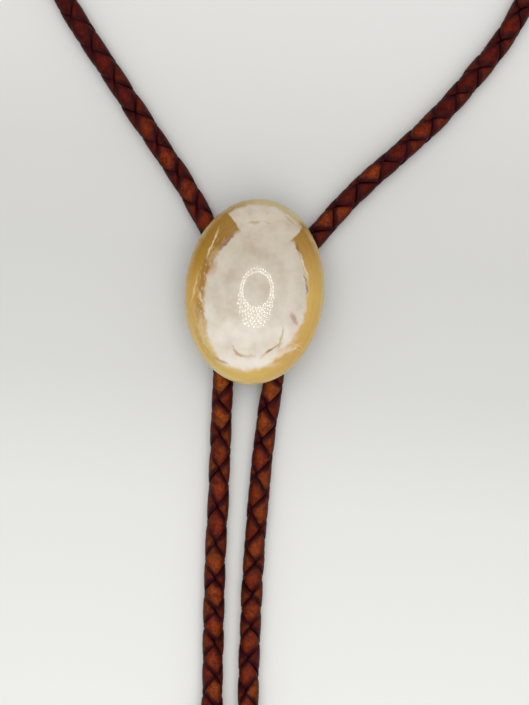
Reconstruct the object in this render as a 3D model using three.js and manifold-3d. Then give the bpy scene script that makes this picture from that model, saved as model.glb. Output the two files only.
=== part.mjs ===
// A bolo tie lying on its back: an oval domed stone on a metal cord clasp, a braided
// leather cord that runs through the clasp and round the neck, and a metal tip on each tail.
//
// Millimetres. +X is the stone's right, +Y runs along its long axis towards the neck loop
// and +Z points out of its face. The origin lies under the middle of the stone, on the
// surface that the tie rests on.

import * as THREE from 'three';
import { mergeVertices } from 'three/addons/utils/BufferGeometryUtils.js';
import Module from 'manifold-3d';

const wasm = await Module();
wasm.setup();

// Driving dimensions

const GAP = 0.3;                    // clearance between pieces that meet

const STONE_WIDTH = 30;             // a standard 30 x 40 mm oval cabochon
const STONE_LENGTH = 40;
const GIRDLE_HEIGHT = 2;            // the upright rim below the dome
const DOME_HEIGHT = 6;
const STONE_CHAMFER = 0.4;          // broken lower edge of the rim

const CORD_DIAMETER = 4.76;         // 3/16 inch braided leather
const CORD_SIDES = 10;
const LOOP_STEPS = 56;              // sections along the neck loop
const TAIL_STEPS = 11;              // sections along each tail

const CHANNEL_SPACING = 10.8;       // between the centres of the clasp's two channels
const CLASP_WALL = 0.9;
const CLASP_LENGTH = 12;
const CLASP_UPPER_END = -2;         // Y of the end that faces the neck loop
const PAD_WIDTH = 22;               // the oval plate that the stone is glued to
const PAD_LENGTH = 30;
const PAD_THICKNESS = 0.8;

const TIP_DIAMETER = 6.5;
const TIP_WALL_LENGTH = 19;         // straight part, from the mouth
const TIP_NOSE_LENGTH = 6;          // rounded end
const TIP_BORE_DEPTH = 18;
const TIP_MOUTH = -95.5;            // Y of both mouths
const TIP_LEFT_X = -1.2;
const TIP_RIGHT_X = 7;

const BORE_RADIUS = CORD_DIAMETER / 2 + GAP;
const CLASP_HEIGHT = 2 * (BORE_RADIUS + CLASP_WALL);
const STONE_BACK = CLASP_HEIGHT + GAP;

// Each stretch of the cord follows a list of points down its middle. The real cord is one
// piece: the neck loop and the tails meet inside the clasp's channels, GAP apart.

const NECK_LOOP_ROUTE = [
  [-5.4, -7.85, 3.58], [-5.4, -2.2, 3.58], [-6.2, 3.8, 3.4], [-8.4, 9.2, 2.9],
  [-11.8, 14.1, 2.5], [-16.8, 21.6, 2.42], [-23.2, 29.8, 2.42], [-29.8, 38, 2.42],
  [-36.3, 46.3, 2.42], [-42.9, 54.7, 2.42], [-48.2, 62.5, 2.42], [-51.9, 71.8, 2.42],
  [-54.9, 83.5, 2.42], [-56.4, 97, 2.42], [-56.2, 110.2, 2.42], [-54, 122.8, 2.42],
  [-49.3, 136, 2.42], [-41.9, 147.8, 2.42], [-31.8, 157.5, 2.42], [-18.8, 164.6, 2.42],
  [-3.5, 168.3, 2.42], [13, 167.8, 2.42], [27.8, 162.7, 2.42], [40, 154, 2.42],
  [49.3, 142.6, 2.42], [55.3, 129.1, 2.42], [58.3, 115.5, 2.42], [58.9, 101.5, 2.42],
  [58.1, 87, 2.42], [55.6, 75.4, 2.42], [50.2, 61.5, 2.42], [43.1, 50.5, 2.42],
  [36.9, 42.1, 2.42], [29.9, 34.2, 2.42], [22.6, 26.6, 2.42], [17.2, 20.2, 2.42],
  [12.4, 13.6, 2.5], [8.7, 8.4, 2.9], [6.3, 3.2, 3.4], [5.4, -2.2, 3.58],
  [5.4, -7.85, 3.58],
];

const LEFT_TAIL_ROUTE = [
  [-5.4, -8.15, 3.58], [-5.4, -14, 3.58], [-5.15, -20.7, 3.1], [-4.85, -27.3, 2.6],
  [-4.5, -33.8, 2.42], [-4.2, -40.4, 2.42], [-3.95, -47, 2.42], [-3.75, -53.6, 2.42],
  [-3.45, -60.1, 2.42], [-3.05, -66.7, 2.42], [-2.65, -73.2, 2.42], [-2.1, -81.4, 2.42],
  [-1.5, -89, 2.8], [-1.25, -95, 3.2], [-1.2, -100, 3.25], [-1.2, -105, 3.25],
];

const RIGHT_TAIL_ROUTE = [
  [5.4, -8.15, 3.58], [5.45, -14, 3.58], [5.65, -20.4, 3.1], [5.2, -26.6, 2.6],
  [4.9, -33, 2.42], [4.8, -39.6, 2.42], [4.8, -46.2, 2.42], [4.8, -52.8, 2.42],
  [4.9, -59.4, 2.42], [5.15, -66, 2.42], [5.45, -72.5, 2.42], [5.85, -80.8, 2.42],
  [6.4, -88.5, 2.8], [6.85, -94.8, 3.2], [7, -100, 3.25], [7, -105, 3.25],
];

// Finishes

const honeyAgate = new THREE.MeshStandardMaterial({ color: 0xcbb894, roughness: 0.12, metalness: 0 });
const nickel = new THREE.MeshStandardMaterial({ color: 0xb9b9b6, roughness: 0.28, metalness: 1 });
const russetLeather = new THREE.MeshStandardMaterial({ color: 0x7a3a1e, roughness: 0.5, metalness: 0 });

// Helpers that turn a closed mesh into a solid for joining, and back

function toSolid(geometry) {
  geometry.deleteAttribute('normal');
  geometry.deleteAttribute('uv');
  const merged = mergeVertices(geometry, 1e-5);
  return new wasm.Manifold(new wasm.Mesh({
    numProp: 3,
    vertProperties: new Float32Array(merged.attributes.position.array),
    triVerts: new Uint32Array(merged.index.array),
  }));
}

function toGeometry(solid) {
  const mesh = solid.getMesh();
  const geometry = new THREE.BufferGeometry();
  geometry.setAttribute('position', new THREE.BufferAttribute(mesh.vertProperties, 3));
  geometry.setIndex(new THREE.BufferAttribute(mesh.triVerts, 1));
  geometry.computeVertexNormals();
  return geometry;
}

function named(name, geometry, material) {
  const mesh = new THREE.Mesh(geometry, material);
  mesh.name = name;
  return mesh;
}

// Stone: a flat back, a short upright rim and a dome whose section is a quarter ellipse.
// It is turned at unit radius and then stretched to the oval.

function makeStone() {
  const chamfer = STONE_CHAMFER / (STONE_WIDTH / 2);
  const profile = [
    new THREE.Vector2(0, 0),
    new THREE.Vector2(1 - chamfer, 0),
    new THREE.Vector2(1, STONE_CHAMFER),
  ];
  const domeSteps = 12;
  for (let step = 0; step < domeSteps; step += 1) {
    const angle = (Math.PI / 2) * (step / domeSteps);
    profile.push(new THREE.Vector2(Math.cos(angle), GIRDLE_HEIGHT + DOME_HEIGHT * Math.sin(angle)));
  }
  profile.push(new THREE.Vector2(0, GIRDLE_HEIGHT + DOME_HEIGHT));
  const geometry = new THREE.LatheGeometry(profile, 56);
  geometry.rotateX(Math.PI / 2);
  geometry.scale(STONE_WIDTH / 2, STONE_LENGTH / 2, 1);
  const stone = named('stone', geometry, honeyAgate);
  stone.position.z = STONE_BACK;
  return stone;
}

// Cord clasp: a flat-sided sleeve with a round channel for each run of the cord and an
// open slot between them, soldered under the oval pad that carries the stone.

function makeClasp() {
  const endCentre = CHANNEL_SPACING / 2;
  const endRadius = CLASP_HEIGHT / 2;
  const outline = new THREE.Shape();
  outline.absarc(endCentre, endRadius, endRadius, -Math.PI / 2, Math.PI / 2, false);
  outline.absarc(-endCentre, endRadius, endRadius, Math.PI / 2, 1.5 * Math.PI, false);
  outline.closePath();
  for (const side of [-1, 1]) {
    const channel = new THREE.Path();
    channel.absarc(side * endCentre, endRadius, BORE_RADIUS, 0, 2 * Math.PI, true);
    outline.holes.push(channel);
  }
  const slotHalf = endCentre - BORE_RADIUS - CLASP_WALL;
  const slot = new THREE.Path();
  slot.moveTo(-slotHalf, CLASP_WALL);
  slot.lineTo(-slotHalf, CLASP_HEIGHT - CLASP_WALL);
  slot.lineTo(slotHalf, CLASP_HEIGHT - CLASP_WALL);
  slot.lineTo(slotHalf, CLASP_WALL);
  slot.closePath();
  outline.holes.push(slot);

  const sleeve = new THREE.ExtrudeGeometry(outline, {
    depth: CLASP_LENGTH, curveSegments: 16, bevelEnabled: false,
  });
  sleeve.rotateX(Math.PI / 2);
  sleeve.translate(0, CLASP_UPPER_END, 0);

  const pad = new THREE.CylinderGeometry(1, 1, PAD_THICKNESS, 48);
  pad.rotateX(Math.PI / 2);
  pad.scale(PAD_WIDTH / 2, PAD_LENGTH / 2, 1);
  pad.translate(0, 0, CLASP_HEIGHT - PAD_THICKNESS / 2);

  return named('cord_clasp', toGeometry(toSolid(sleeve).add(toSolid(pad))), nickel);
}

// Cord: a plain round tube along each route.

function makeCord(name, route, steps) {
  const points = route.map(([x, y, z]) => new THREE.Vector3(x, y, z));
  const section = new THREE.Shape();
  section.absarc(0, 0, CORD_DIAMETER / 2, 0, 2 * Math.PI, false);
  const geometry = new THREE.ExtrudeGeometry(section, {
    steps,
    curveSegments: CORD_SIDES / 2,
    extrudePath: new THREE.CatmullRomCurve3(points, false, 'centripetal'),
  });
  return named(name, geometry, russetLeather);
}

// Tip: a turned metal cap with a round nose. The cord is glued into its blind bore.

function makeTip(name, x) {
  const radius = TIP_DIAMETER / 2;
  const profile = [
    new THREE.Vector2(0, TIP_BORE_DEPTH),
    new THREE.Vector2(BORE_RADIUS, TIP_BORE_DEPTH),
    new THREE.Vector2(BORE_RADIUS, 0),
    new THREE.Vector2(radius, 0),
  ];
  const noseSteps = 6;
  for (let step = 0; step < noseSteps; step += 1) {
    const angle = (Math.PI / 2) * (step / noseSteps);
    profile.push(new THREE.Vector2(
      radius * Math.cos(angle),
      TIP_WALL_LENGTH + TIP_NOSE_LENGTH * Math.sin(angle),
    ));
  }
  profile.push(new THREE.Vector2(0, TIP_WALL_LENGTH + TIP_NOSE_LENGTH));
  const geometry = new THREE.LatheGeometry(profile, 32);
  geometry.rotateX(Math.PI);
  const tip = named(name, geometry, nickel);
  tip.position.set(x, TIP_MOUTH, radius);
  return tip;
}

// The tie

const boloTie = new THREE.Group();
boloTie.add(
  makeStone(),
  makeClasp(),
  makeCord('cord_neck_loop', NECK_LOOP_ROUTE, LOOP_STEPS),
  makeCord('cord_left_tail', LEFT_TAIL_ROUTE, TAIL_STEPS),
  makeCord('cord_right_tail', RIGHT_TAIL_ROUTE, TAIL_STEPS),
  makeTip('tip_left', TIP_LEFT_X),
  makeTip('tip_right', TIP_RIGHT_X),
);

export default boloTie;
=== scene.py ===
import math

import bpy
import numpy as np
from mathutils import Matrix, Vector


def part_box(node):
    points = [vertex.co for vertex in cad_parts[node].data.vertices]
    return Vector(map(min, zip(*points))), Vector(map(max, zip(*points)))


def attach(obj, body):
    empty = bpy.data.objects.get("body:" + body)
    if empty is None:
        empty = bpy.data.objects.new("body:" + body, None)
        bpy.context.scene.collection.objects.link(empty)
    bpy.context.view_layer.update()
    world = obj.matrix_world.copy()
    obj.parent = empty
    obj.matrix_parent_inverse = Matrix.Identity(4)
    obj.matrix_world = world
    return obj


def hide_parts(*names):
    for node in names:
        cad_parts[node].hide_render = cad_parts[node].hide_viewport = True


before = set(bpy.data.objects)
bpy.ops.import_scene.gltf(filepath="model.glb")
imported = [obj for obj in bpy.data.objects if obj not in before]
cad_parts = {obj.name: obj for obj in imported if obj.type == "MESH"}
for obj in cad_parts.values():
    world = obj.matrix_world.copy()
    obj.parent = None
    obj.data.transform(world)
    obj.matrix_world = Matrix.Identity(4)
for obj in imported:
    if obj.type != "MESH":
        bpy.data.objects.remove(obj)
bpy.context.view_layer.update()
MM = 0.001


# ---------------------------------------------------------------------------------------
# Camera: straight above the tie as it lies on its back, a little below the stone, and
# turned so that the stone's long axis leans to the right.

camera_data = bpy.data.cameras.new("camera")
camera_data.sensor_width = 36
camera_data.lens = 86.4
camera = bpy.data.objects.new("camera", camera_data)
camera.location = (3.3 * MM, -12.8 * MM, 373 * MM)
camera.rotation_euler = (0, 0, math.radians(5))
bpy.context.scene.collection.objects.link(camera)
bpy.context.scene.camera = camera


# ---------------------------------------------------------------------------------------
# Cord: four flat laces of vegetable-tanned leather plaited round one another, two running
# each way. It is one piece on the real tie. Here the neck loop and the two tails are three
# stretches that meet, out of sight, inside the clasp.

CORD_DIAMETER = 0.00476

neck_loop_route = [
    (-0.0054, -0.00785, 0.00358), (-0.0054, -0.0022, 0.00358), (-0.0062, 0.0038, 0.0034),
    (-0.0084, 0.0092, 0.0029), (-0.0118, 0.0141, 0.0025), (-0.0168, 0.0216, 0.00242),
    (-0.0232, 0.0298, 0.00242), (-0.0298, 0.038, 0.00242), (-0.0363, 0.0463, 0.00242),
    (-0.0429, 0.0547, 0.00242), (-0.0482, 0.0625, 0.00242), (-0.0519, 0.0718, 0.00242),
    (-0.0549, 0.0835, 0.00242), (-0.0564, 0.097, 0.00242), (-0.0562, 0.1102, 0.00242),
    (-0.054, 0.1228, 0.00242), (-0.0493, 0.136, 0.00242), (-0.0419, 0.1478, 0.00242),
    (-0.0318, 0.1575, 0.00242), (-0.0188, 0.1646, 0.00242), (-0.0035, 0.1683, 0.00242),
    (0.013, 0.1678, 0.00242), (0.0278, 0.1627, 0.00242), (0.04, 0.154, 0.00242),
    (0.0493, 0.1426, 0.00242), (0.0553, 0.1291, 0.00242), (0.0583, 0.1155, 0.00242),
    (0.0589, 0.1015, 0.00242), (0.0581, 0.087, 0.00242), (0.0556, 0.0754, 0.00242),
    (0.0502, 0.0615, 0.00242), (0.0431, 0.0505, 0.00242), (0.0369, 0.0421, 0.00242),
    (0.0299, 0.0342, 0.00242), (0.0226, 0.0266, 0.00242), (0.0172, 0.0202, 0.00242),
    (0.0124, 0.0136, 0.0025), (0.0087, 0.0084, 0.0029), (0.0063, 0.0032, 0.0034),
    (0.0054, -0.0022, 0.00358), (0.0054, -0.00785, 0.00358),
]

left_tail_route = [
    (-0.0054, -0.00815, 0.00358), (-0.0054, -0.014, 0.00358), (-0.00515, -0.0207, 0.0031),
    (-0.00485, -0.0273, 0.0026), (-0.0045, -0.0338, 0.00242), (-0.0042, -0.0404, 0.00242),
    (-0.00395, -0.047, 0.00242), (-0.00375, -0.0536, 0.00242), (-0.00345, -0.0601, 0.00242),
    (-0.00305, -0.0667, 0.00242), (-0.00265, -0.0732, 0.00242), (-0.0021, -0.0814, 0.00242),
    (-0.0015, -0.089, 0.0028), (-0.00125, -0.095, 0.0032), (-0.0012, -0.1, 0.00325),
    (-0.0012, -0.105, 0.00325),
]

right_tail_route = [
    (0.0054, -0.00815, 0.00358), (0.00545, -0.014, 0.00358), (0.00565, -0.0204, 0.0031),
    (0.0052, -0.0266, 0.0026), (0.0049, -0.033, 0.00242), (0.0048, -0.0396, 0.00242),
    (0.0048, -0.0462, 0.00242), (0.0048, -0.0528, 0.00242), (0.0049, -0.0594, 0.00242),
    (0.00515, -0.066, 0.00242), (0.00545, -0.0725, 0.00242), (0.00585, -0.0808, 0.00242),
    (0.0064, -0.0885, 0.0028), (0.00685, -0.0948, 0.0032), (0.007, -0.1, 0.00325),
    (0.007, -0.105, 0.00325),
]

LACE_THICKNESS = 1.05 * MM
CORE_RADIUS = 0.12 * MM          # no lace comes nearer to the cord's middle than this

# How each stretch was plaited by hand: (millimetres along it, crossings made so far, degrees
# that the plait's columns have turned round the cord). A lace makes a full turn in four
# crossings, which take about 15 mm.
neck_loop_lay = [
    (0, 1.2, 95), (32, 9, 88), (56.2, 15, 80), (73.5, 19, 65), (371.5, 95, 100), (388, 99.5, 104),
    (408, 105, 124), (422.5, 109, 124), (450, 116.5, 124),
]
left_tail_lay = [
    (0, 1, 45), (15, 4.9, 28), (19.2, 6, 12), (30, 8.8, 4), (51, 14, 0), (58.2, 16, -9),
    (72.5, 20, -15), (80, 22.1, -28), (98, 27, -30),
]
right_tail_lay = [
    (0, 0.8, 15), (16.2, 5, 22), (27.6, 8, 26), (39.2, 11, 48), (47, 13, 68), (54, 15, 84),
    (68, 19, 92), (75, 21, 108), (98, 27, 115),
]

# A lace's section, round from its left edge: (place across it, depth below its face in mm).
# Its whole width is 1, and so is the distance along it from one crossing to the next.
lace_section = [
    (-0.505, 0.52), (-0.49, 0.24), (-0.44, 0.10), (-0.28, 0.02), (0.0, 0.0), (0.28, 0.02),
    (0.44, 0.10), (0.49, 0.24), (0.505, 0.52), (0.42, 1.05), (0.0, 1.05), (-0.42, 1.05),
]

# Where the lace is given a section, from the middle of one crossing where it lies on top
# to the next, two crossings on. It dips under its neighbour half way to the crossing
# between them.
lace_stations = [
    -0.57, -0.54, -0.5, -0.46, -0.43, -0.28, -0.14, 0.0,
    0.14, 0.28, 0.43, 0.46, 0.5, 0.54, 0.57, 0.8, 1.2,
]


def smooth_route(points):
    """Places a millimetre apart along a centripetal Catmull-Rom curve through the points."""
    p = np.array(points)
    p = np.vstack([2 * p[0] - p[1], p, 2 * p[-1] - p[-2]])
    t = np.linspace(0, 1, 32, endpoint=False)[:, None]
    line = []
    for a, b, c, d in zip(p, p[1:], p[2:], p[3:]):
        ab, bc, cd = (np.linalg.norm(end - start) ** 0.5 for start, end in ((a, b), (b, c), (c, d)))
        leaving = ((b - a) / ab - (c - a) / (ab + bc) + (c - b) / bc) * bc
        arriving = ((c - b) / bc - (d - b) / (bc + cd) + (d - c) / cd) * bc
        line.append(
            b * (2 * t**3 - 3 * t**2 + 1) + c * (3 * t**2 - 2 * t**3)
            + leaving * (t**3 - 2 * t**2 + t) + arriving * (t**3 - t**2)
        )
    line = np.vstack([*line, p[-2]])
    along = np.concatenate([[0], np.cumsum(np.linalg.norm(np.diff(line, axis=0), axis=1))])
    steps = np.linspace(0, along[-1], round(along[-1] / MM) + 1)
    return np.column_stack([np.interp(steps, along, line[:, axis]) for axis in range(3)])


def on_top(distance):
    """How far up a lace is, from 0 under its neighbour to 1 on top, by distance from a crossing."""
    leaves_top, dips_over = 0.43, 0.14
    down = np.clip((np.abs(distance) - leaves_top) / dips_over, 0, 1)
    return 0.5 + 0.5 * np.cos(np.pi * down)


def plait(name, route, lay, seed):
    """A cord of four plaited laces along the route, as one mesh, and the line down its middle."""
    chance = np.random.default_rng(seed)
    lay_places, lay_crossings, lay_turns = np.array(lay).T
    lay_places = lay_places * MM
    middle = smooth_route(route)
    length = np.linalg.norm(np.diff(middle, axis=0), axis=1).sum()
    along = np.linspace(0, length, len(middle))
    ahead = np.gradient(middle, axis=0)
    ahead /= np.linalg.norm(ahead, axis=1)[:, None]
    side = np.cross(ahead, (0, 0, 1))
    side /= np.linalg.norm(side, axis=1)[:, None]
    up = np.cross(side, ahead)
    across = np.array([place for place, depth in lace_section])
    depths = np.array([depth for place, depth in lace_section]) * MM

    vertices, faces, lace_uv = [], [], []
    for lace in range(4):
        clockwise, start = lace % 2, lace // 2
        last = np.interp(length, lay_places, lay_crossings) - start + 0.5
        top_crossings = np.arange((start + clockwise) % 2 - 2, last + 2, 2)
        raised = chance.uniform(-0.09, 0.05, len(top_crossings)) * MM
        shifted = chance.uniform(-0.035, 0.035, len(top_crossings))
        slanted = chance.uniform(-0.2, -0.04, len(top_crossings))
        first_vertex, rings = sum(map(len, vertices)), 0
        for which, crossing in enumerate(top_crossings):
            for station in lace_stations:
                run = crossing + station
                if not lay_crossings[0] - start - 0.5 < run < last:
                    continue
                height = on_top(station)
                sideways = across + height * (shifted[which] + slanted[which] * station)
                around = run - start - sideways
                place = np.interp(run + start + sideways, lay_crossings, lay_places)
                place = np.clip(place, 0, length)
                turn = (90 if clockwise else -90) * around + np.interp(place, lay_places, lay_turns)
                turn = np.radians(turn)
                radius = (
                    CORD_DIAMETER / 2 - LACE_THICKNESS * (1 - height)
                    + height * (raised[which] - 0.5 * station**2 * MM)
                    - np.minimum(depths, CORD_DIAMETER / 2 - LACE_THICKNESS)
                )
                radius = np.maximum(radius, CORE_RADIUS)
                at = [
                    np.column_stack([np.interp(place, along, vectors[:, k]) for k in range(3)])
                    for vectors in (middle, up, side)
                ]
                ring = at[0] + radius[:, None] * (
                    np.cos(turn)[:, None] * at[1] + np.sin(turn)[:, None] * at[2]
                )
                vertices.append(ring)
                lace_uv.append(np.column_stack([np.full(len(across), run), across + 10 * lace + 1]))
                rings += 1
        sides = len(across)
        first_ring = [first_vertex + edge for edge in range(sides)]
        last_ring = [vertex + (rings - 1) * sides for vertex in first_ring]
        lace_faces = [tuple(reversed(first_ring)), tuple(last_ring)]
        for ring in range(rings - 1):
            for edge in range(sides):
                a = first_vertex + ring * sides + edge
                b = first_vertex + ring * sides + (edge + 1) % sides
                lace_faces.append((a, b, b + sides, a + sides))
        if clockwise:  # such a lace is mirrored, so its faces turn round their first corner
            lace_faces = [(corner, *reversed(others)) for corner, *others in lace_faces]
        faces += lace_faces

    mesh = bpy.data.meshes.new(name)
    mesh.from_pydata(np.vstack(vertices).tolist(), [], faces)
    places = np.vstack(lace_uv)
    corners = np.empty(len(mesh.loops), int)
    mesh.loops.foreach_get("vertex_index", corners)
    mesh.uv_layers.new(name="lace").data.foreach_set("uv", places[corners].ravel())
    mesh.shade_smooth()
    cord = bpy.data.objects.new(name, mesh)
    bpy.context.scene.collection.objects.link(cord)
    return cord, middle


def linear(code):
    """A colour written as an sRGB hex value, as the linear red, green, blue, alpha of a node."""
    parts = [int(code[place:place + 2], 16) / 255 for place in (1, 3, 5)]
    return (*(c / 12.92 if c <= 0.04045 else ((c + 0.055) / 1.055) ** 2.4 for c in parts), 1.0)


def add(tree, kind, inputs=None, stops=None, **settings):
    """Adds a node with its settings. inputs holds a value or a socket to link for each input,
    and stops the places and colours of a colour ramp."""
    node = tree.nodes.new(kind)
    for name, value in settings.items():
        setattr(node, name, value)
    for name, value in (inputs or {}).items():
        if isinstance(value, bpy.types.NodeSocket):
            tree.links.new(value, node.inputs[name])
        else:
            node.inputs[name].default_value = value
    for which, (place, shade) in enumerate(stops or []):
        points = node.color_ramp.elements
        point = points[which] if which < 2 else points.new(place)
        point.position = place
        point.color = linear(shade) if isinstance(shade, str) else (shade, shade, shade, 1)
    return node


def new_material(name):
    """An empty node material, its tree and its shader."""
    material = bpy.data.materials.new(name)
    material.use_nodes = True
    return material, material.node_tree, material.node_tree.nodes["Principled BSDF"]


# Vegetable-tanned leather, dyed russet and rubbed: each facet of the plait is worn back to
# tan in its middle and keeps the dark dye along its edges, over a fine pored grain. The
# cord's sides, turned away from the light above, get painted shade in the same dark colour.
leather, tree, shader = new_material("vegetable-tanned leather")
places = add(tree, "ShaderNodeTexCoord").outputs["Object"]
lace = add(tree, "ShaderNodeUVMap", uv_map="lace").outputs["UV"]
lace = add(tree, "ShaderNodeSeparateXYZ", {"Vector": lace})
facet = add(tree, "ShaderNodeMath", {0: lace.outputs["X"]}, operation="ROUND").outputs[0]
strand = add(tree, "ShaderNodeMath", {0: lace.outputs["Y"]}, operation="ROUND").outputs[0]
to_end = add(tree, "ShaderNodeMath", {0: lace.outputs["X"], 1: facet}, operation="SUBTRACT")
to_end = add(tree, "ShaderNodeMath", {0: to_end.outputs[0]}, operation="ABSOLUTE").outputs[0]
to_side = add(tree, "ShaderNodeMath", {0: lace.outputs["Y"], 1: strand}, operation="SUBTRACT")
to_side = add(tree, "ShaderNodeMath", {0: to_side.outputs[0]}, operation="ABSOLUTE")
to_side = add(tree, "ShaderNodeMath", {0: to_side.outputs[0], 1: 1.45}, operation="MULTIPLY")
edge = add(
    tree, "ShaderNodeMath", {0: to_end, 1: to_side.outputs[0], 2: 0.18}, operation="SMOOTH_MAX",
)
ragged = add(tree, "ShaderNodeTexNoise", {"Vector": places, "Scale": 800, "Detail": 4})
edge = add(
    tree, "ShaderNodeMath", {0: ragged.outputs["Fac"], 1: 0.3, 2: edge.outputs[0]},
    operation="MULTIPLY_ADD",
)
edge_dye_and_side_shade = add(
    tree, "ShaderNodeValToRGB", {"Fac": edge.outputs[0]},
    stops=[(0.36, 0.0), (0.52, 0.35), (0.62, 0.7), (0.72, 1.0)],
)
# Painted shade: the further a face turns from straight up, the more of the dark colour it gets.
upward = add(tree, "ShaderNodeNewGeometry").outputs["Normal"]
upward = add(tree, "ShaderNodeSeparateXYZ", {"Vector": upward}).outputs["Z"]
painted_side_shade = add(
    tree, "ShaderNodeMapRange",
    {"Value": upward, "From Min": 0.93, "From Max": 0.55, "To Min": 0.0, "To Max": 0.72},
)
edge_dye_and_side_shade = add(
    tree, "ShaderNodeMath", {0: edge_dye_and_side_shade.outputs[0], 1: painted_side_shade.outputs[0]}, operation="MAXIMUM",
)
own = add(tree, "ShaderNodeCombineXYZ", {"X": facet, "Y": strand})
own = add(tree, "ShaderNodeTexWhiteNoise", {"Vector": own.outputs[0]}, noise_dimensions="2D")
tan = add(
    tree, "ShaderNodeValToRGB", {"Fac": own.outputs["Value"]},
    stops=[(0.0, "#7A270C"), (0.4, "#8C360E"), (0.8, "#A04C14"), (1.0, "#8A3410")],
)
russet = add(
    tree, "ShaderNodeValToRGB", {"Fac": own.outputs["Value"]},
    stops=[(0.0, "#520E05"), (0.5, "#6E1A07"), (0.85, "#90380C"), (1.0, "#5E1406")],
)
height = add(tree, "ShaderNodeSeparateXYZ", {"Vector": places}).outputs["Y"]
neckward = add(
    tree, "ShaderNodeMapRange", {"Value": height, "From Min": -0.02, "From Max": 0.03},
)
dyed = add(
    tree, "ShaderNodeMixRGB",
    {"Fac": neckward.outputs[0], "Color1": tan.outputs[0], "Color2": russet.outputs[0]},
)
blotch = add(tree, "ShaderNodeTexNoise", {"Vector": places, "Scale": 700, "Detail": 4})
blotch = add(
    tree, "ShaderNodeValToRGB", {"Fac": blotch.outputs["Fac"]},
    stops=[(0.32, "#94847F"), (0.5, "#E2DAD6"), (0.66, "#FFFFFF")],
)
dyed = add(
    tree, "ShaderNodeMixRGB", {"Fac": 0.8, "Color1": dyed.outputs[0], "Color2": blotch.outputs[0]},
    blend_type="MULTIPLY",
)
pores = add(tree, "ShaderNodeTexNoise", {"Vector": places, "Scale": 2200, "Detail": 2})
pores = add(
    tree, "ShaderNodeValToRGB", {"Fac": pores.outputs["Fac"]},
    stops=[(0.36, "#8E7C76"), (0.56, "#FFFFFF")],
)
dyed = add(
    tree, "ShaderNodeMixRGB", {"Fac": 0.6, "Color1": dyed.outputs[0], "Color2": pores.outputs[0]},
    blend_type="MULTIPLY",
)
# The dark colour is the dye along the facets' edges and painted shade on the cord's sides.
dye_edged_and_side_shaded = add(
    tree, "ShaderNodeMixRGB",
    {"Fac": edge_dye_and_side_shade.outputs[0], "Color1": dyed.outputs[0], "Color2": linear("#2E060A")},
)
tree.links.new(dye_edged_and_side_shaded.outputs[0], shader.inputs["Base Color"])
grain = add(tree, "ShaderNodeTexVoronoi", {"Vector": places, "Scale": 4200})
grain = add(
    tree, "ShaderNodeBump", {"Height": grain.outputs["Distance"], "Strength": 0.35, "Distance": 0.00006},
)
tree.links.new(grain.outputs[0], shader.inputs["Normal"])
shader.inputs["Roughness"].default_value = 0.46
shader.inputs["Specular IOR Level"].default_value = 0.1

neck_loop, neck_line = plait("braided_neck_loop", neck_loop_route, neck_loop_lay, 11)
left_tail, left_line = plait("braided_left_tail", left_tail_route, left_tail_lay, 12)
right_tail, right_line = plait("braided_right_tail", right_tail_route, right_tail_lay, 13)

for cord, node in (
    (neck_loop, "cord_neck_loop"), (left_tail, "cord_left_tail"), (right_tail, "cord_right_tail"),
):
    cord.data.materials.append(leather)
    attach(cord, "root")
    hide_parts(node)


# ---------------------------------------------------------------------------------------
# Tips: a turned and nickel-plated brass cap on each tail's end, with a rolled lip at the
# mouth, two turned grooves and a round nose. The cord is glued into its bore.

TIP_LIP = 0.35 * MM              # how far the rolled lip reaches back along the tip
TIP_BORE_DEPTH = 18 * MM
TIP_GLUE = 0.3 * MM              # round the cord, in the bore
TIP_GROOVES = (3.2 * MM, 4.6 * MM)
TIP_NOSE = 6 * MM


def turned(name, middle, axis, stations, sides=64):
    """A closed turned piece: a ring is drawn out along the axis, station by station.

    Each station is (place along the axis, radius) and a radius of 0 closes the piece.
    """
    place, radius = stations[0]
    facing = Vector(axis).to_track_quat("Z", "Y").to_euler()
    bpy.ops.object.select_all(action="DESELECT")
    bpy.ops.mesh.primitive_circle_add(
        vertices=sides, radius=radius, fill_type="TRIFAN",
        location=Vector(middle) + Vector(axis) * place, rotation=facing,
    )
    piece = bpy.context.object
    piece.name = piece.data.name = name
    bpy.ops.object.transform_apply(location=True, rotation=True, scale=True)
    bpy.ops.object.mode_set(mode="EDIT")
    bpy.ops.mesh.select_mode(type="VERT")
    bpy.ops.mesh.select_all(action="DESELECT")
    bpy.ops.object.mode_set(mode="OBJECT")
    for vertex in piece.data.vertices:
        vertex.select = (vertex.co - Vector(middle)).cross(Vector(axis)).length > radius / 2
    bpy.ops.object.mode_set(mode="EDIT")
    for next_place, next_radius in stations[1:]:
        step = Vector(axis) * (next_place - place)
        bpy.ops.mesh.extrude_edges_move(TRANSFORM_OT_translate={"value": step})
        if next_radius == 0:
            bpy.ops.mesh.merge(type="CENTER")
        else:
            centre = Vector(middle) + Vector(axis) * next_place
            scale = next_radius / radius
            bpy.ops.transform.resize(value=(scale,) * 3, center_override=centre)
        place, radius = next_place, next_radius
    bpy.ops.mesh.select_all(action="SELECT")
    bpy.ops.mesh.normals_make_consistent(inside=False)
    bpy.ops.object.mode_set(mode="OBJECT")
    bpy.ops.object.shade_smooth_by_angle(angle=math.radians(35))
    return piece


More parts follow.
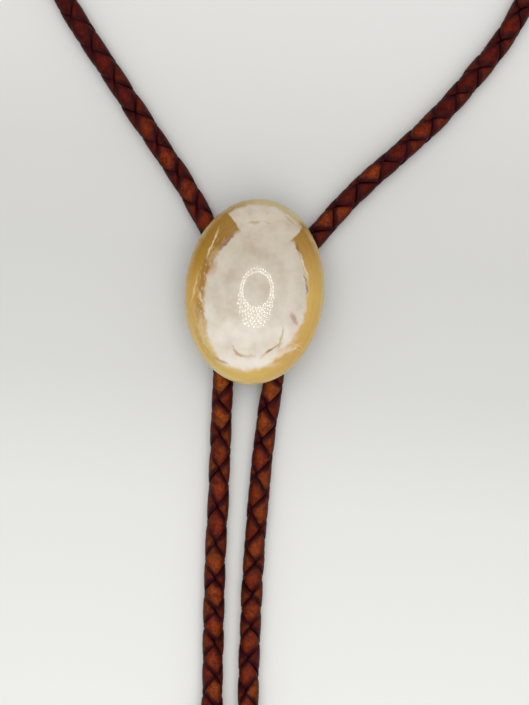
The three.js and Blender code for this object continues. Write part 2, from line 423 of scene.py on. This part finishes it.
def tip(node, name):
    """A tip the size of its CAD node, whose mouth faces the neck."""
    low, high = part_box(node)
    radius = (high.z - low.z) / 2
    length = high.y - low.y
    mouth = Vector(((low.x + high.x) / 2, high.y, radius))
    bore = CORD_DIAMETER / 2 + TIP_GLUE
    stations = [(TIP_BORE_DEPTH, bore), (0.25 * MM, bore)]
    lip_middle, lip_half = (bore + radius) / 2, (radius - bore) / 2
    for step in range(9):
        angle = math.pi * step / 8
        stations.append((TIP_LIP * (1 - math.sin(angle)), lip_middle - lip_half * math.cos(angle)))
    body = radius - 0.12 * MM
    stations += [(TIP_LIP + 0.3 * MM, radius), (TIP_LIP + 0.5 * MM, body)]
    for groove in TIP_GROOVES:
        stations += [
            (groove - 0.35 * MM, body), (groove - 0.2 * MM, body - 0.16 * MM),
            (groove, body - 0.24 * MM), (groove + 0.2 * MM, body - 0.16 * MM),
            (groove + 0.35 * MM, body),
        ]
    for step in range(12):
        angle = math.pi / 2 * step / 12
        stations.append((length - TIP_NOSE + TIP_NOSE * math.sin(angle), body * math.cos(angle)))
    stations.append((length, 0))
    piece = turned(name, mouth, (0, -1, 0), stations)
    piece.data.materials.append(nickel)
    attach(piece, "root")
    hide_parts(node)
    return piece


# Nickel plate on turned brass: bright and slightly warm, with faint turning lines and the
# fine scratches of wear.
nickel, tree, shader = new_material("nickel-plated brass")
places = add(tree, "ShaderNodeTexCoord").outputs["Object"]
lines = add(tree, "ShaderNodeMapping", {"Vector": places, "Scale": (400, 9000, 400)})
lines = add(tree, "ShaderNodeTexNoise", {"Vector": lines.outputs[0], "Scale": 1, "Detail": 3})
worn = add(tree, "ShaderNodeTexNoise", {"Vector": places, "Scale": 260, "Detail": 5})
polish = add(
    tree, "ShaderNodeMapRange",
    {"Value": worn.outputs["Fac"], "From Min": 0.3, "From Max": 0.7, "To Min": 0.16, "To Max": 0.34},
)
tree.links.new(polish.outputs[0], shader.inputs["Roughness"])
plate = add(
    tree, "ShaderNodeValToRGB", {"Fac": worn.outputs["Fac"]},
    stops=[(0.3, "#B5B1A8"), (0.6, "#CFCCC6")],
)
tree.links.new(plate.outputs[0], shader.inputs["Base Color"])
marks = add(
    tree, "ShaderNodeBump", {"Height": lines.outputs["Fac"], "Strength": 0.2, "Distance": 0.00002},
)
tree.links.new(marks.outputs[0], shader.inputs["Normal"])
shader.inputs["Metallic"].default_value = 1.0

left_tip = tip("tip_left", "turned_left_tip")
right_tip = tip("tip_right", "turned_right_tip")


# ---------------------------------------------------------------------------------------
# Clasp: a nickel-plated brass sleeve with a round channel for each run of the cord and a
# slot between them, soldered under the oval pad that the stone is glued to. The stone
# hides it from above.

CHANNEL_SPACING = 10.8 * MM
CHANNEL_RADIUS = 2.68 * MM
CLASP_WALL = 0.9 * MM
PAD_THICKNESS = 0.8 * MM
SLEEVE_LOWER_END = -14 * MM
SLEEVE_UPPER_END = -2 * MM

pad_low, pad_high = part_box("cord_clasp")
sleeve_height = pad_high.z - pad_low.z
sleeve_middle = (SLEEVE_LOWER_END + SLEEVE_UPPER_END) / 2
sleeve_length = SLEEVE_UPPER_END - SLEEVE_LOWER_END


def join_or_cut(piece, other, operation):
    """Joins the other piece to this one or cuts it away, and removes it."""
    modifier = piece.modifiers.new("solid", "BOOLEAN")
    modifier.operation = operation
    modifier.object = other
    modifier.solver = "EXACT"
    bpy.context.view_layer.objects.active = piece
    bpy.ops.object.modifier_apply(modifier=modifier.name)
    bpy.data.objects.remove(other)


def rod(radius, length, x, sides=48):
    """A plain rod along Y at the sleeve's middle."""
    bpy.ops.object.select_all(action="DESELECT")
    bpy.ops.mesh.primitive_cylinder_add(
        vertices=sides, radius=radius, depth=length, location=(x, sleeve_middle, sleeve_height / 2),
        rotation=(math.pi / 2, 0, 0),
    )
    bpy.ops.object.transform_apply(location=True, rotation=True, scale=True)
    return bpy.context.object


clasp = rod(sleeve_height / 2, sleeve_length, 0)
clasp.name = clasp.data.name = "soldered_clasp"
for vertex in clasp.data.vertices:
    if abs(vertex.co.x) > 0.01 * MM:
        vertex.co.x += math.copysign(CHANNEL_SPACING / 2, vertex.co.x)

slot_width = CHANNEL_SPACING - 2 * CHANNEL_RADIUS - 2 * CLASP_WALL
bpy.ops.object.select_all(action="DESELECT")
bpy.ops.mesh.primitive_cube_add(size=1, location=(0, sleeve_middle, sleeve_height / 2))
slot_cutter = bpy.context.object
slot_cutter.scale = (slot_width, 2 * sleeve_length, sleeve_height - 2 * CLASP_WALL)
bpy.ops.object.transform_apply(location=True, rotation=True, scale=True)
join_or_cut(clasp, slot_cutter, "DIFFERENCE")
for side in (-1, 1):
    cutter = rod(CHANNEL_RADIUS, 2 * sleeve_length, side * CHANNEL_SPACING / 2)
    join_or_cut(clasp, cutter, "DIFFERENCE")

bpy.ops.object.select_all(action="DESELECT")
bpy.ops.mesh.primitive_cylinder_add(
    vertices=96, radius=1, depth=1, location=(0, 0, pad_high.z - PAD_THICKNESS / 2),
)
pad = bpy.context.object
pad.scale = ((pad_high.x - pad_low.x) / 2, (pad_high.y - pad_low.y) / 2, PAD_THICKNESS)
bpy.ops.object.transform_apply(location=True, rotation=True, scale=True)
join_or_cut(clasp, pad, "UNION")

bevel = clasp.modifiers.new("broken edges", "BEVEL")
bevel.width = 0.18 * MM
bevel.segments = 2
bevel.limit_method = "ANGLE"
bevel.angle_limit = math.radians(50)
bpy.context.view_layer.objects.active = clasp
bpy.ops.object.modifier_apply(modifier=bevel.name)
bpy.ops.object.select_all(action="DESELECT")
clasp.select_set(True)
# The cuts and the broken edges leave a few slivers, which are merged away.
bpy.ops.object.mode_set(mode="EDIT")
bpy.ops.mesh.select_all(action="SELECT")
bpy.ops.mesh.remove_doubles(threshold=0.002 * MM)
bpy.ops.mesh.dissolve_degenerate(threshold=0.001 * MM)
bpy.ops.object.mode_set(mode="OBJECT")
bpy.ops.object.shade_smooth_by_angle(angle=math.radians(35))
clasp.data.materials.append(nickel)
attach(clasp, "root")
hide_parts("cord_clasp")


# ---------------------------------------------------------------------------------------
# Stone: an oval cabochon cut and polished from a translucent honey agate round an opaque
# cream heart. Its flat back is glued to the clasp's pad.

stone_low, stone_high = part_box("stone")
STONE_HALF_WIDTH = (stone_high.x - stone_low.x) / 2
STONE_HALF_LENGTH = (stone_high.y - stone_low.y) / 2
GIRDLE_HEIGHT = 2 * MM
EDGE_BREAK = 0.4 * MM

dome_height = stone_high.z - stone_low.z - GIRDLE_HEIGHT
cut = [(0, STONE_HALF_WIDTH - EDGE_BREAK)]
for step in range(1, 4):
    angle = math.pi / 2 * step / 3
    cut.append((
        EDGE_BREAK * (1 - math.cos(angle)),
        STONE_HALF_WIDTH - EDGE_BREAK * (1 - math.sin(angle)),
    ))
for step in range(40):
    angle = math.pi / 2 * step / 40
    cut.append((GIRDLE_HEIGHT + dome_height * math.sin(angle), STONE_HALF_WIDTH * math.cos(angle)))
cut.append((GIRDLE_HEIGHT + dome_height, 0))
stone = turned("polished_stone", (0, 0, stone_low.z), (0, 0, 1), cut, sides=144)
for vertex in stone.data.vertices:
    vertex.co.y *= STONE_HALF_LENGTH / STONE_HALF_WIDTH

# Polished agate: a glassy surface over a clouded cream heart. The translucent honey rim is
# darkest where it is thickest, at the two amber corners beside the cap, and it holds bright
# flaws and brown seams that follow the heart's edge.
agate, tree, shader = new_material("polished agate")
places = add(tree, "ShaderNodeTexCoord").outputs["Object"]
bend = add(tree, "ShaderNodeTexNoise", {"Vector": places, "Scale": 650, "Detail": 5})
bend = add(
    tree, "ShaderNodeVectorMath", {0: bend.outputs["Color"], 1: (-0.5, -0.5, -0.5)}, operation="ADD",
)
bend = add(tree, "ShaderNodeVectorMath", {0: bend.outputs[0], "Scale": 1.3 * MM}, operation="SCALE")
bent = add(tree, "ShaderNodeVectorMath", {0: places, 1: bend.outputs[0]}, operation="ADD").outputs[0]
oval = add(
    tree, "ShaderNodeMapping",
    {"Vector": bent, "Scale": (1 / STONE_HALF_WIDTH, 1 / STONE_HALF_LENGTH, 0)},
).outputs[0]
out = add(tree, "ShaderNodeVectorMath", {0: oval}, operation="LENGTH").outputs["Value"]
flat = add(tree, "ShaderNodeSeparateXYZ", {"Vector": oval})
turn = add(
    tree, "ShaderNodeMath", {0: flat.outputs["Y"], 1: flat.outputs["X"]}, operation="ARCTAN2",
)
turn = add(
    tree, "ShaderNodeMath", {0: turn.outputs[0], 1: 1 / math.tau, 2: 0.5}, operation="MULTIPLY_ADD",
).outputs[0]

# How far out the cream heart reaches, from the left end of the oval round by its foot.
reach = add(
    tree, "ShaderNodeValToRGB", {"Fac": turn},
    stops=[
        (0.0, 0.70), (0.065, 0.73), (0.11, 0.79), (0.16, 0.845), (0.20, 0.86), (0.24, 0.845),
        (0.30, 0.80), (0.345, 0.757), (0.43, 0.764), (0.50, 0.747), (0.58, 0.73), (0.64, 0.735),
        (0.82, 0.69), (0.88, 0.665), (0.95, 0.667), (1.0, 0.70),
    ],
)
cloud = add(
    tree, "ShaderNodeTexNoise", {"Vector": places, "Scale": 300, "Detail": 6, "Roughness": 0.6},
)
inside = add(tree, "ShaderNodeMath", {0: reach.outputs[0], 1: out}, operation="SUBTRACT")
inside = add(
    tree, "ShaderNodeMath", {0: cloud.outputs["Fac"], 1: 0.1, 2: inside.outputs[0]},
    operation="MULTIPLY_ADD",
)
heart = add(
    tree, "ShaderNodeMapRange", {"Value": inside.outputs[0], "From Min": 0.015, "From Max": 0.08},
    interpolation_type="SMOOTHSTEP",
).outputs[0]

# The cream runs on up to the head of the stone between two straight, sharp boundaries.
sides_of_cap = []
for facing, far in (((0.777, 0.63, 0), 4.55 * MM), ((-0.829, 0.559, 0), 0.51 * MM)):
    beyond = add(tree, "ShaderNodeVectorMath", {0: bent, 1: facing}, operation="DOT_PRODUCT")
    sides_of_cap.append(add(
        tree, "ShaderNodeMath", {0: beyond.outputs["Value"], 1: far}, operation="SUBTRACT",
    ).outputs[0])
cap = add(
    tree, "ShaderNodeMath", {0: sides_of_cap[0], 1: sides_of_cap[1]}, operation="MINIMUM",
)
cap = add(
    tree, "ShaderNodeMapRange",
    {"Value": cap.outputs[0], "From Min": -0.1 * MM, "From Max": 0.35 * MM},
    interpolation_type="SMOOTHSTEP",
)
below_head = add(
    tree, "ShaderNodeMapRange", {"Value": out, "From Min": 0.965, "From Max": 0.905},
    interpolation_type="SMOOTHSTEP",
)
cap = add(
    tree, "ShaderNodeMath", {0: cap.outputs[0], 1: below_head.outputs[0]}, operation="MULTIPLY",
)
cream = add(tree, "ShaderNodeMath", {0: heart, 1: cap.outputs[0]}, operation="MAXIMUM").outputs[0]

honey = add(
    tree, "ShaderNodeValToRGB", {"Fac": turn},
    stops=[
        (0.0, "#CB9F50"), (0.08, "#D4B062"), (0.16, "#D8BA6E"), (0.25, "#DBBA68"),
        (0.36, "#CFA55C"), (0.50, "#D2AD5C"), (0.555, "#C29C50"), (0.60, "#AC8338"),
        (0.645, "#9E7228"), (0.66, "#BFAA70"), (0.76, "#C0AB74"), (0.82, "#9C7430"),
        (0.89, "#9C721C"), (0.95, "#AC8226"), (1.0, "#CB9F50"),
    ],
)
layers = add(tree, "ShaderNodeCombineXYZ", {"X": turn, "Y": out})
layers = add(tree, "ShaderNodeMapping", {"Vector": layers.outputs[0], "Scale": (7, 34, 1)})
layers = add(tree, "ShaderNodeTexNoise", {"Vector": layers.outputs[0], "Scale": 1, "Detail": 2})
layers = add(
    tree, "ShaderNodeValToRGB", {"Fac": layers.outputs["Fac"]},
    stops=[(0.34, "#A88848"), (0.5, "#E6E0D0"), (0.68, "#FFFFFF")],
)
rim = add(
    tree, "ShaderNodeMixRGB", {"Fac": 0.16, "Color1": honey.outputs[0], "Color2": layers.outputs[0]},
    blend_type="MULTIPLY",
)
left = add(
    tree, "ShaderNodeMapRange",
    {"Value": flat.outputs["X"], "From Min": -0.4, "From Max": -0.75, "To Max": 0.9},
)
near_heart = add(
    tree, "ShaderNodeMapRange",
    {"Value": inside.outputs[0], "From Min": -0.13, "From Max": 0.02, "To Max": left.outputs[0]},
)
rim = add(
    tree, "ShaderNodeMixRGB",
    {"Fac": near_heart.outputs[0], "Color1": rim.outputs[0], "Color2": linear("#D0B890")},
    blend_type="MULTIPLY",
)
chips = add(tree, "ShaderNodeMapping", {"Vector": places, "Scale": (1900, 900, 900)})
chips = add(tree, "ShaderNodeTexNoise", {"Vector": chips.outputs[0], "Scale": 1, "Detail": 3})
chips = add(
    tree, "ShaderNodeMapRange",
    {"Value": chips.outputs["Fac"], "From Min": 0.56, "From Max": 0.64, "To Max": 0.6},
)
chips = add(
    tree, "ShaderNodeMath", {0: chips.outputs[0], 1: near_heart.outputs[0]}, operation="MULTIPLY",
)
rim = add(
    tree, "ShaderNodeMixRGB",
    {"Fac": chips.outputs[0], "Color1": rim.outputs[0], "Color2": linear("#E8D8B4")},
)
# Painted glow: the outermost edge is painted paler, as light shining through the thin stone.
painted_edge_glow = add(
    tree, "ShaderNodeMapRange", {"Value": out, "From Min": 0.94, "From Max": 1.0, "To Max": 0.45},
)
rim = add(
    tree, "ShaderNodeMixRGB",
    {"Fac": painted_edge_glow.outputs[0], "Color1": rim.outputs[0], "Color2": linear("#D8C998")},
)

# The heart is whitest towards its foot and greyer towards the head, with soft clouds.
along = add(tree, "ShaderNodeSeparateXYZ", {"Vector": places}).outputs["Y"]
along = add(
    tree, "ShaderNodeMapRange",
    {"Value": along, "From Min": -STONE_HALF_LENGTH, "From Max": STONE_HALF_LENGTH},
)
white = add(
    tree, "ShaderNodeValToRGB", {"Fac": along.outputs[0]},
    stops=[
        (0.08, "#EBE3D6"), (0.27, "#E7DFD2"), (0.36, "#DED6C9"), (0.5, "#D3CABC"), (0.62, "#CEC4B5"),
        (0.78, "#CCC1B0"), (0.95, "#D4CAB9"),
    ],
)
clouds = add(
    tree, "ShaderNodeValToRGB", {"Fac": cloud.outputs["Fac"]},
    stops=[(0.3, "#DCCFBE"), (0.5, "#F4F0EA"), (0.65, "#FFFFFF")],
)
white = add(
    tree, "ShaderNodeMixRGB", {"Fac": 0.6, "Color1": white.outputs[0], "Color2": clouds.outputs[0]},
    blend_type="MULTIPLY",
)
colour = add(
    tree, "ShaderNodeMixRGB", {"Fac": cream, "Color1": rim.outputs[0], "Color2": white.outputs[0]},
).outputs[0]

# Flaws and seams: middle in mm, lean in degrees, half length and half width in mm, strength
# and colour.
flaws = [
    (6.6, 1.0, 84, 4.4, 2.0, 0.4, "#DED5C6"), (-0.8, -8.8, 2, 6.0, 2.0, 0.35, "#EEE7DC"),
    (9.7, -11.3, 35, 1.6, 0.08, 0.5, "#E6D2A0"), (10.2, -10.7, -20, 1.2, 0.08, 0.5, "#E6D2A0"),
    (9.2, -12.1, 62, 1.1, 0.08, 0.5, "#E6D2A0"), (9.9, -11.6, 5, 1.3, 0.08, 0.4, "#E6D2A0"),
    (-3.8, -11.2, 20, 2.0, 1.0, 0.3, "#D6C8C2"), (8.3, -4.0, -68, 1.6, 0.7, 0.35, "#D8BEB6"),
    (9.2, -8.9, 68, 1.8, 0.6, 0.3, "#E6CDC4"), (2.4, -11.4, 30, 1.6, 0.6, 0.25, "#D6C8C0"),
    (0.0, -15.4, 3, 4.2, 0.7, 0.6, "#F0E9DE"), (6.0, -13.2, 32, 3.2, 0.5, 0.6, "#EFE0D0"),
    (8.9, -7.8, 68, 1.8, 0.4, 0.5, "#E4CCBC"), (-6.7, 9.8, 52, 1.7, 0.28, 0.8, "#7E4E3C"),
    (-9.2, 4.2, 75, 1.6, 0.6, 0.5, "#B98F6C"), (-11.2, 4.6, 76, 1.8, 0.2, 0.5, "#86662A"),
    (-9.6, 9.8, 74, 2.2, 0.15, 0.7, "#E6D3A6"), (-10.2, 7.6, 60, 0.9, 0.2, 0.6, "#DEC898"),
    (-10.9, -7.6, 112, 2.6, 0.7, 0.6, "#D9C296"), (-9.2, -11.6, 125, 2.0, 0.6, 0.5, "#DDC790"),
    (-12.7, -0.6, 82, 2.5, 0.15, 0.6, "#E4D0A0"), (-11.2, -2.3, 108, 1.1, 0.24, 0.65, "#E4D4AC"),
    (-11.5, 0.6, 84, 1.4, 0.3, 0.5, "#8A6A30"), (-11.6, -5.6, 95, 2.0, 0.4, 0.5, "#9C783A"),
    (8.4, 9.8, -58, 0.8, 0.2, 0.8, "#765644"), (10.6, 3.6, -75, 0.7, 0.15, 0.75, "#86685E"),
    (11.0, 1.4, 88, 1.0, 0.12, 0.75, "#7F6660"), (10.0, 6.4, -66, 2.2, 0.12, 0.6, "#E6DCC8"),
    (8.9, -5.2, -55, 1.1, 0.45, 0.75, "#AE8880"), (4.3, -12.2, 35, 0.8, 0.22, 0.9, "#865630"),
    (6.6, -9.4, 80, 1.7, 0.2, 0.65, "#BE9866"), (5.4, -11.4, 32, 1.3, 0.2, 0.7, "#BE9866"),
    (3.4, -13.2, 48, 1.0, 0.2, 0.6, "#C8A880"), (-3.2, -12.7, -60, 1.0, 0.2, 0.7, "#C9AE88"),
    (-2.1, -13.5, -22, 1.1, 0.25, 0.8, "#B8986A"), (-0.2, -13.8, 2, 1.3, 0.2, 0.6, "#CDB38E"),
    (-5.7, -15.4, -22, 1.3, 0.2, 0.6, "#98826A"), (-1.3, 14.5, 8, 1.0, 0.28, 0.7, "#B0966A"),
    (1.6, 14.7, -4, 0.9, 0.15, 0.5, "#B9A580"), (6.2, 15.7, -32, 1.3, 0.15, 0.6, "#B4985F"),
    (8.2, 16.6, -40, 2.4, 0.45, 0.6, "#D2BC7C"), (-9.3, 7.0, 62, 1.6, 0.5, 0.5, "#C9AE80"),
]
for x, y, lean, half_length, half_width, strength, shade in flaws:
    spot = add(
        tree, "ShaderNodeMapping",
        {
            "Vector": bent, "Location": (x * MM, y * MM, 0),
            "Rotation": (0, 0, math.radians(lean)), "Scale": (half_length * MM, half_width * MM, 1),
        },
        vector_type="TEXTURE",
    )
    spot = add(tree, "ShaderNodeVectorMath", {0: spot.outputs[0]}, operation="LENGTH")
    spot = add(
        tree, "ShaderNodeMapRange",
        {
            "Value": spot.outputs["Value"], "From Min": 1.9, "From Max": 0.5,
            "To Min": 0.0, "To Max": strength,
        },
        interpolation_type="SMOOTHSTEP",
    )
    colour = add(
        tree, "ShaderNodeMixRGB", {"Fac": spot.outputs[0], "Color1": colour, "Color2": linear(shade)},
    ).outputs[0]

tree.links.new(colour, shader.inputs["Base Color"])
shader.inputs["Roughness"].default_value = 0.05
shader.inputs["IOR"].default_value = 1.54

stone.data.materials.append(agate)
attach(stone, "root")
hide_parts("stone")


# ---------------------------------------------------------------------------------------
# Setting: a pale surface with painted light and shade, a wide soft light from above and to
# the left, and a ring lamp round the camera that shows only as its reflection in the stone.

bpy.ops.object.select_all(action="DESELECT")
bpy.ops.mesh.primitive_plane_add(size=6, location=(0, 0, 0))
surface = bpy.context.object
surface.name = "pale_surface"
# The card's colour is painted light falloff and painted shade: it is palest by the tails'
# ends and greyest beside the stone's middle.
card, tree, shader = new_material("matt card with painted light and shade")
places = add(tree, "ShaderNodeTexCoord").outputs["Object"]
away = add(tree, "ShaderNodeSeparateXYZ", {"Vector": places}).outputs["Y"]
away = add(tree, "ShaderNodeMapRange", {"Value": away, "From Min": -0.1, "From Max": 0.08})
away = add(
    tree, "ShaderNodeValToRGB", {"Fac": away.outputs[0]},
    stops=[
        (0.0, "#EFEFEC"), (0.3, "#E5E5E2"), (0.45, "#D8D8D5"), (0.6, "#D3D3D0"), (0.72, "#D6D5D3"),
        (0.85, "#DFDEDC"), (1.0, "#E6E4E3"),
    ],
)
tree.links.new(away.outputs[0], shader.inputs["Base Color"])
shader.inputs["Roughness"].default_value = 0.9
surface.data.materials.append(card)

world = bpy.data.worlds.new("studio")
world.use_nodes = True
sky = add(world.node_tree, "ShaderNodeTexCoord").outputs["Generated"]
sky = add(world.node_tree, "ShaderNodeSeparateXYZ", {"Vector": sky}).outputs["Z"]
sky = add(
    world.node_tree, "ShaderNodeValToRGB", {"Fac": sky},
    stops=[(0.0, "#8C8B89"), (0.5, "#CCCBC9"), (0.9, "#F4F4F3")],
)
background = world.node_tree.nodes["Background"]
world.node_tree.links.new(sky.outputs[0], background.inputs["Color"])
background.inputs["Strength"].default_value = 0.78
bpy.context.scene.world = world
bpy.context.scene.view_settings.view_transform = "Standard"


def soft_light(name, place, size, power):
    """A square soft box that faces the stone and doesn't show in it."""
    light = bpy.data.lights.new(name, "AREA")
    light.size = size
    light.energy = power
    box = bpy.data.objects.new(name, light)
    box.location = place
    box.rotation_euler = (-Vector(place)).to_track_quat("-Z", "Y").to_euler()
    box.visible_camera = False
    box.visible_glossy = False
    bpy.context.scene.collection.objects.link(box)


soft_light("key_light", (-0.05, 0.12, 0.85), 0.9, 3.4)
soft_light("fill_light", (0.16, -0.42, 0.6), 0.5, 0.9)

# The lamp is an oval reflector that fades outwards, with rows of diodes on it. The inner rows
# go all the way round, and each outer row reaches less far round from the near side, so that
# those rows make a fan. Its sizes are in millimetres, across it and along it.
LAMP_CENTRE = (8 * MM, 15 * MM, 340 * MM)
REFLECTOR_INNER = (55, 41.5)
REFLECTOR_OUTER = (150, 130)
FIRST_DIODE_ROW = (60, 46)
DIODE_ROW_SPACING = 9
DIODE_ROWS = 7
FULL_ROWS = 2
DIODES_ROUND = 34
DIODE_HALF_LENGTH = 3.4
DIODE_HALF_WIDTH = 2.7
corners, faces = [], []
for step in range(64):
    angle = math.tau * step / 64
    for across_ring, along_ring in (REFLECTOR_INNER, REFLECTOR_OUTER):
        corners.append((across_ring * MM * math.cos(angle), along_ring * MM * math.sin(angle), 0))
    inner, following = 2 * step, 2 * ((step + 1) % 64)
    faces.append((inner, inner + 1, following + 1, following))
for row in range(DIODE_ROWS):
    half_wide, half_long = (half + DIODE_ROW_SPACING * row for half in FIRST_DIODE_ROW)
    reach_round = 180 if row < FULL_ROWS else 104 - 13 * row
    for step in range(DIODES_ROUND):
        turned_by = 360 * (step + 0.5 * (row % 2)) / DIODES_ROUND - 180
        if abs(turned_by) > reach_round:
            continue
        angle = math.radians(turned_by - 90)
        outward = Vector((math.cos(angle), math.sin(angle), 0))
        sideways = Vector((-outward.y, outward.x, 0))
        middle = Vector((half_wide * outward.x, half_long * outward.y, -1))
        first = len(corners)
        for corner in range(8):
            spin = math.tau * corner / 8
            along_dot = DIODE_HALF_LENGTH * math.cos(spin) * outward
            across_dot = DIODE_HALF_WIDTH * math.sin(spin) * sideways
            corners.append(MM * (middle + along_dot + across_dot))
        faces.append(tuple(range(first, first + 8)))
mesh = bpy.data.meshes.new("ring_lamp")
mesh.from_pydata([Vector(c) + Vector(LAMP_CENTRE) for c in corners], [], faces)
lamp = bpy.data.objects.new("ring_lamp", mesh)
bpy.context.scene.collection.objects.link(lamp)
reflector, tree, shader = new_material("white reflector")
places = add(tree, "ShaderNodeTexCoord").outputs["Object"]
spread = add(
    tree, "ShaderNodeMapping",
    {
        "Vector": places, "Location": (LAMP_CENTRE[0], LAMP_CENTRE[1] - 14 * MM, LAMP_CENTRE[2]),
        "Scale": (70 * MM, 66 * MM, 1),
    },
    vector_type="TEXTURE",
)
spread = add(tree, "ShaderNodeVectorMath", {0: spread.outputs[0]}, operation="LENGTH")
spread = add(
    tree, "ShaderNodeMapRange",
    {"Value": spread.outputs["Value"], "From Min": 0.85, "From Max": 1.6, "To Min": 1.5, "To Max": 0.0},
    interpolation_type="SMOOTHSTEP",
)
tree.links.new(spread.outputs[0], shader.inputs["Emission Strength"])
shader.inputs["Emission Color"].default_value = linear("#FFFBF2")
shader.inputs["Base Color"].default_value = linear("#000000")
shader.inputs["Specular IOR Level"].default_value = 0.0
glow, tree, shader = new_material("lamp diodes")
shader.inputs["Emission Color"].default_value = linear("#FFFBF2")
shader.inputs["Emission Strength"].default_value = 13.0
mesh.materials.append(reflector)
mesh.materials.append(glow)
for face in mesh.polygons:
    face.material_index = 0 if len(face.vertices) == 4 else 1
lamp.visible_camera = False
lamp.visible_diffuse = False
lamp.visible_shadow = False
